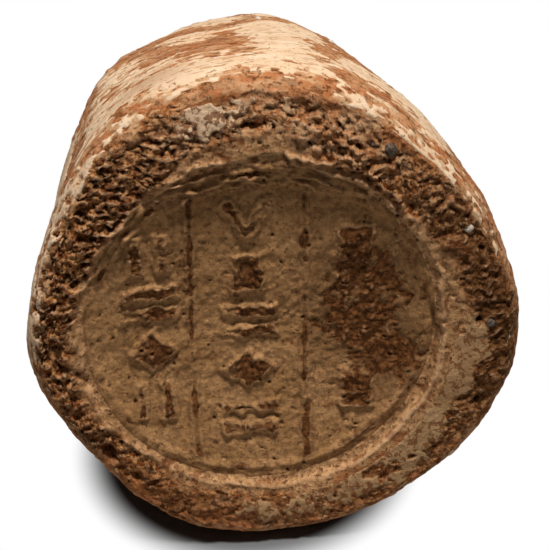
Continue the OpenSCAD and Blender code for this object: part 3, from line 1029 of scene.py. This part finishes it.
# Slip never reaches the flattened side, this high above the floor
SLIP_FLOOR = 4.0
slip_turn = np.arange(SHANK_COLUMNS) * 360 / SHANK_COLUMNS
slip_seen = np.linspace(SLIP_START, SLIP_SEEN_TO, 118)
slip_back = np.linspace(SLIP_SEEN_TO, LENGTH - TAIL_DOME, 40)[1:]
slip_a, slip_s = np.meshgrid(slip_turn, np.concatenate([slip_seen, slip_back]))
slip_base, slip_shows, slip_up = side_surface(slip_a, slip_s)
slip_fine = 0.05 * rumple(slip_base * STREAKED, 1.5, 51) * ease(slip_shows["cover"], 0, 1)
slip_lift = np.clip(0.4 * slip_shows["cover"], DIPPED, SLIP_T) + slip_fine
slip_lift = np.where(level(slip_base)[..., 2] - MIDDLE[2] < SLIP_FLOOR, DIPPED, slip_lift)

# Limy slip: a warm cream skin, thin enough at its edges for the brown clay to show through, with fine
# brown streaks along the wiping and a greyer cast where it lies thickest by the left shoulder.
SLIP_CREAM = "#f4d5b1"
SLIP_DEEP = "#ebc49d"
SLIP_BROWN = "#bd8656"
SLIP_GREY = "#d0aa86"


def slip_material(name, cream, deep, patch, bare, pits):
    """Cream broken by soft blotches, of another tone where the piece's own value says, with bare clay
    where it is thin and in fine flecks, and that share of pits."""
    material, tree, place = new_material(name)
    wiped = wiped_way(tree, place)
    pit_from = 0.63 - 0.1 * pits
    colour = coated(
        tree,
        cream,
        [
            (speckle(tree, place, 6, 0.4, 0.62), deep),
            (shown_value(tree, "patch", 0, 1), patch),
            (speckle(tree, wiped, 4.4, 0.58, 0.62, 0.55), bare),
            (speckle(tree, wiped, 2.0, 0.59, 0.62, 0.6), bare),
            (shown_value(tree, "thick", 0.08, 0.0, 0.7), bare),
            (speckle(tree, place, 1.2, pit_from, pit_from + 0.03, 0.8), CLAY_PIT),
        ],
    )
    dry_surface(tree, colour, place, 0.8, 0.4)
    return material


make_flakes(
    "shank_flakes",
    slip_base,
    slip_up,
    slip_lift,
    slip_material("limy slip", SLIP_CREAM, SLIP_DEEP, SLIP_GREY, SLIP_BROWN, 0.2),
    "shank_slip",
    "pale_slip",
    patch=bell(wrapped(slip_a - 115), 9) * bell(slip_s - 13, 6),
)

# Rim slip
# The same slip on the front of the rim, dulled by handling and soot to a grey tan. It is left in a
# broad patch at the lower right, thin flakes along the bottom and one paler patch near the top, drawn
# lighter still as painted light where the rim faces up.

RIM_COLUMNS = 900
RIM_ROWS = 34
RIM_REACH = (11.0, 0.3)
# Soiled slip: a dull grey tan with rusty flecks and many dark pits, and paler cream near the top,
# partly painted light.
RIM_TAN = "#c59c6f"
RIM_TAN_DEEP = "#ae855c"
RIM_PALE_AND_PAINTED_LIGHT = "#e6c29c"
rim_turn = np.arange(RIM_COLUMNS) * 360 / RIM_COLUMNS
rim_out = side_radius(rim_turn, 0.0) - np.linspace(*RIM_REACH, RIM_ROWS)[:, None]
rim_across, rim_up = polar(rim_out, rim_turn)
rim_base, rim_shows = face_surface(rim_across, rim_up)
off_pad = np.hypot(rim_across - STAMP_X, rim_up - STAMP_Z) > PAD_R + 0.3
make_flakes(
    "rim_flakes",
    rim_base,
    np.zeros(rim_base.shape) - BACK,
    np.where(off_pad, np.clip(0.5 * rim_shows["cover"], DIPPED, SLIP_T), DIPPED),
    slip_material("soiled slip", RIM_TAN, RIM_TAN_DEEP, RIM_PALE_AND_PAINTED_LIGHT, WASH_RUST, 1.0),
    "rim_slip",
    "pale_slip",
    # The paler patch near the top, partly painted light.
    patch=bell(wrapped(rim_turn - 104), 16) + 0 * rim_out,
)

# Field slip
# A brownish wash of slip that ran into the sunk field and dried round the marks. It has worn off the
# tops of the marks, the ring and a broad place right of the middle.

FIELD_REACH = 31.6
WASH_T = 0.06
field_rows = int(PAD_ROWS * FIELD_REACH / PAD_R)
field_part = (slice(0, field_rows), slice(0, COLUMNS, 2))
field_base = pad_face[field_part]
field_edge = FIELD_REACH - 1.0 - reach[:field_rows]
field_cover = np.minimum(pad_shows["field_cover"][field_part], field_edge)

# Wash of slip and dirt: khaki with dark specks at random, painted shade in the hollows and pits of its
# relief, and painted highlights of lighter tan on its wrinkles.
FIELD_KHAKI = "#b68655"
FIELD_TAN = "#ca9866"
FIELD_DARK = "#785334"
SOILED_DARK = "#5f3f26"


def wash_material(name):
    """Khaki and tan by two sizes of noise, with dark and rusty specks, darker where the wash is thin or
    soiled, with painted shade in the hollows and painted highlights on the wrinkles."""
    material, tree, place = new_material(name)
    colour = coated(
        tree,
        FIELD_KHAKI,
        [
            (speckle(tree, place, 9, 0.35, 0.65), FIELD_TAN),
            (speckle(tree, place, 1.0, 0.42, 0.6, 0.5), FIELD_DARK),
            (speckle(tree, place, 1.6, 0.6, 0.65, 0.6), WASH_RUST),
            (shown_value(tree, "thick", 0.15, 0.09, 0.4), FIELD_DARK),
            # Painted shade in the hollows and painted highlights on the wrinkles.
            (shown_value(tree, "hollow", -0.06, -0.4, 0.8), PAINTED_HOLLOW_SHADE),
            (shown_value(tree, "hollow", 0.04, 0.3, 0.5), WASH_TAN_AND_PAINTED_HIGHLIGHT),
            (shown_value(tree, "soiled", 0, 1, 0.65), SOILED_DARK),
            (speckle(tree, place, 0.9, 0.59, 0.65, 0.6), PIT_DARK),
        ],
    )
    dry_surface(tree, colour, place, 0.8, 0.6)
    return material


make_flakes(
    "field_wash",
    field_base,
    np.zeros(field_base.shape) - BACK,
    WASH_BED + np.clip(0.3 * field_cover, -0.3, WASH_T),
    wash_material("brown slip wash"),
    "field_slip",
    "brown_slip",
    hollow=pad_hollow[field_part],
    soiled=pad_shows["soiled"][field_part],
)

# Grit
# Grains of limestone and of dark stone that were in the clay when it was dug. They stand out of the
# surface where the clay has worn back round them.

LIME_R = 0.9
DARK_R = 1.3
GRAIN_PROUD = 0.35
GRAIN_DENTS = 0.3
LIME_GRAINS = [(27, -1.5), (86, 68), (64, 56), (190, 24), (-22, 18), (120, 92), (206, 38)]
DARK_GRAINS = [(63, -3.6), (58, -2.4), (-2, -3), (140, 62), (24, 84), (176, 92)]
PEBBLE_ROWS = 14
PEBBLE_COLUMNS = 20


def pebble_group(grains, r, seed):
    """Points and triangles of a group of pebbles: each is a ball whose radius swells and dents by noise,
    set into the clay by all but its proud share, along the clay's outward direction."""
    lat = np.radians(np.linspace(-90, 90, PEBBLE_ROWS + 2)[1:-1])[:, None]
    lon = np.radians(np.arange(PEBBLE_COLUMNS) * 360 / PEBBLE_COLUMNS)[None, :]
    ball = np.stack([np.cos(lat) * np.cos(lon), np.sin(lat) + 0 * lon, np.cos(lat) * np.sin(lon)], -1)
    ball = np.concatenate([ball.reshape(-1, 3), [(0, -1, 0), (0, 1, 0)]])
    faces = closed_faces(PEBBLE_ROWS, PEBBLE_COLUMNS)
    groups = []
    numbers = []
    for k, (a, v) in enumerate(grains):
        a = np.array([a], float)
        if v < 0:
            at = face_surface(*polar(side_radius(a, 0.0) + v, a))[0]
            n = -BACK
        else:
            at, _, n = side_surface(a, np.array([v], float))
        swell = 1 + GRAIN_DENTS * rumple(ball + 5 * k, 0.8, seed)[:, None]
        groups.append(at + n * r * (GRAIN_PROUD - 1) + ball * r * swell)
        numbers.append(faces + k * len(ball))
    return np.concatenate(groups), np.concatenate(numbers)


def stone_material(name, light, dark):
    """Two tones of one stone in specks half a millimetre wide."""
    material, tree, place = new_material(name)
    colour = coated(tree, light, [(speckle(tree, place, 0.5, 0.4, 0.6), dark)])
    dry_surface(tree, colour, place, 0.4, 0.4)
    return material


# Limestone: a chalky, creamy white, mottled with tan where the clay stained it.
limestone = stone_material("limestone grit", "#eee4d2", "#c9b497")
make_piece("lime_grains", *pebble_group(LIME_GRAINS, LIME_R, 61), limestone, "limestone_grit", "limestone")
# Dark stone: a dull grey brown, mottled darker, broken and never polished.
dark_stone = stone_material("dark stone grit", "#77685a", "#43382f")
make_piece("dark_grains", *pebble_group(DARK_GRAINS, DARK_R, 62), dark_stone, "dark_grit", "dark_stone")

# Studio
# A white table under one broad lamp that hangs almost overhead, a little to the front and right, with a
# weak even fill. The camera looks down on the face from the front.

FLOOR_HALF = 3.0
floor_mesh = bpy.data.meshes.new("floor")
floor_corners = [(-1, -1, 0), (1, -1, 0), (1, 1, 0), (-1, 1, 0)]
floor_mesh.from_pydata(FLOOR_HALF * np.array(floor_corners, float), [], [(0, 1, 2, 3)])
floor = bpy.data.objects.new("floor", floor_mesh)
bpy.context.scene.collection.objects.link(floor)


def seen_rays(tree):
    """Two shares of 1 or 0: what the camera sees straight, and what it sees straight, by gloss or
    through glass. Both are 0 for light on its way."""
    camera_ray = add(tree, "LightPath", {}, {}, "Is Camera Ray")
    seen = camera_ray
    for kind in ("Is Glossy Ray", "Is Transmission Ray"):
        rays = {0: seen, 1: camera_ray.node.outputs[kind]}
        seen = add(tree, "Math", {"operation": "MAXIMUM"}, rays)
    return camera_ray, seen


# White table top: close by it keeps the cone's cast shadow and deepens it with a painted shadow, a
# dark grey that the camera sees even where the lamp lights it; further off the camera sees plain white.
TABLE_BOUNCE = "#a8a8a8"
TABLE_PAINTED_SHADOW = "#6e6e6e"
# The painted shadow before the face lies round this point, full and faded out at these distances
FACE_SHADOW = (-4.4, -40.5, 0.0)
FACE_REACH = (26.3, 35.0)
# The painted shadow under the shank lies along the y axis, from y to y, and fades to the sides
SHANK_SHADOW = (-20.0, 30.0)
SHANK_REACH = (24.0, 42.0)
table, tree, place = new_material("white table top")
camera_ray, seen = seen_rays(tree)
# Painted shadow: inside the fade the camera sees the table this dark grey, lit or not.
table_colour = coated(tree, TABLE_BOUNCE, [(camera_ray, TABLE_PAINTED_SHADOW)])
shaded = add(tree, "BsdfDiffuse", {}, {"Color": table_colour})
white = add(tree, "Emission", {}, {"Color": (1, 1, 1, 1), "Strength": 1.0})
along = add(tree, "SeparateXYZ", {}, {0: place}, "Y")
along = add(tree, "Clamp", {}, {"Value": along, "Min": SHANK_SHADOW[0], "Max": SHANK_SHADOW[1]})
under_shank = add(tree, "CombineXYZ", {}, {"Y": along})
share = seen
for middle, (full, faded) in ((FACE_SHADOW, FACE_REACH), (under_shank, SHANK_REACH)):
    far = add(tree, "VectorMath", {"operation": "DISTANCE"}, {0: place, 1: middle}, "Value")
    fade = {"Value": far, "From Min": full, "From Max": faded}
    faded_out = add(tree, "MapRange", {"interpolation_type": "SMOOTHSTEP"}, fade)
    share = add(tree, "Math", {"operation": "MINIMUM"}, {0: share, 1: faded_out})
table_look = add(tree, "MixShader", {}, {0: share, 1: shaded, 2: white})
add(tree, "OutputMaterial", {}, {"Surface": table_look})
floor_mesh.materials.append(table)

LAMP_TURN = 35.0
LAMP_RISE = 87.0
LAMP_AWAY = 1.0
LAMP_SIZE = 0.18
LAMP_WATTS = 11.8
HEAD_MIDDLE = placed(np.zeros((1, 3)))[0]


def from_head(turn_deg, rise_deg, away):
    """The point at that distance from the middle of the head, seen from the front turned to the right
    and raised."""
    t = math.radians(turn_deg)
    e = math.radians(rise_deg)
    way = np.array((math.sin(t) * math.cos(e), -math.cos(t) * math.cos(e), math.sin(e)))
    return HEAD_MIDDLE + away * way


def look_at(thing, target):
    """Turns a lamp or camera so that it looks at the target with its top up."""
    way = Vector(tuple(target)) - thing.location
    thing.rotation_euler = way.to_track_quat("-Z", "Y").to_euler()


lamp = bpy.data.objects.new("lamp", bpy.data.lights.new("lamp", "AREA"))
lamp.data.shape = "DISK"
lamp.data.size = LAMP_SIZE
lamp.data.energy = LAMP_WATTS
lamp.location = from_head(LAMP_TURN, LAMP_RISE, LAMP_AWAY)
look_at(lamp, HEAD_MIDDLE)
bpy.context.scene.collection.objects.link(lamp)

FILL = 0.035
world = bpy.data.worlds.new("studio")
bpy.context.scene.world = world
world.use_nodes = True
tree = world.node_tree
tree.nodes.clear()
fill = add(tree, "Background", {}, {"Color": (1, 1, 1, 1), "Strength": FILL})
white = add(tree, "Background", {}, {"Color": (1, 1, 1, 1), "Strength": 1.0})
sky = add(tree, "MixShader", {}, {0: seen_rays(tree)[1], 1: fill, 2: white})
add(tree, "OutputWorld", {}, {"Surface": sky})

CAMERA_TURN = -4.5
CAMERA_RISE = 27.8 + math.degrees(TILT)
CAMERA_AWAY = 0.330
CAMERA_LENS = 123.8
CAMERA_SENSOR = 36
# The frame's middle lies this far above the head's middle, across the view
AIM_UP = 0.0093
camera = bpy.data.objects.new("camera", bpy.data.cameras.new("camera"))
camera.data.lens = CAMERA_LENS
camera.data.sensor_width = CAMERA_SENSOR
camera.location = from_head(CAMERA_TURN, CAMERA_RISE, CAMERA_AWAY)
look_at(camera, from_head(CAMERA_TURN, CAMERA_RISE + 90, AIM_UP))
bpy.context.scene.collection.objects.link(camera)
bpy.context.scene.camera = camera
bpy.context.scene.view_settings.view_transform = "Standard"
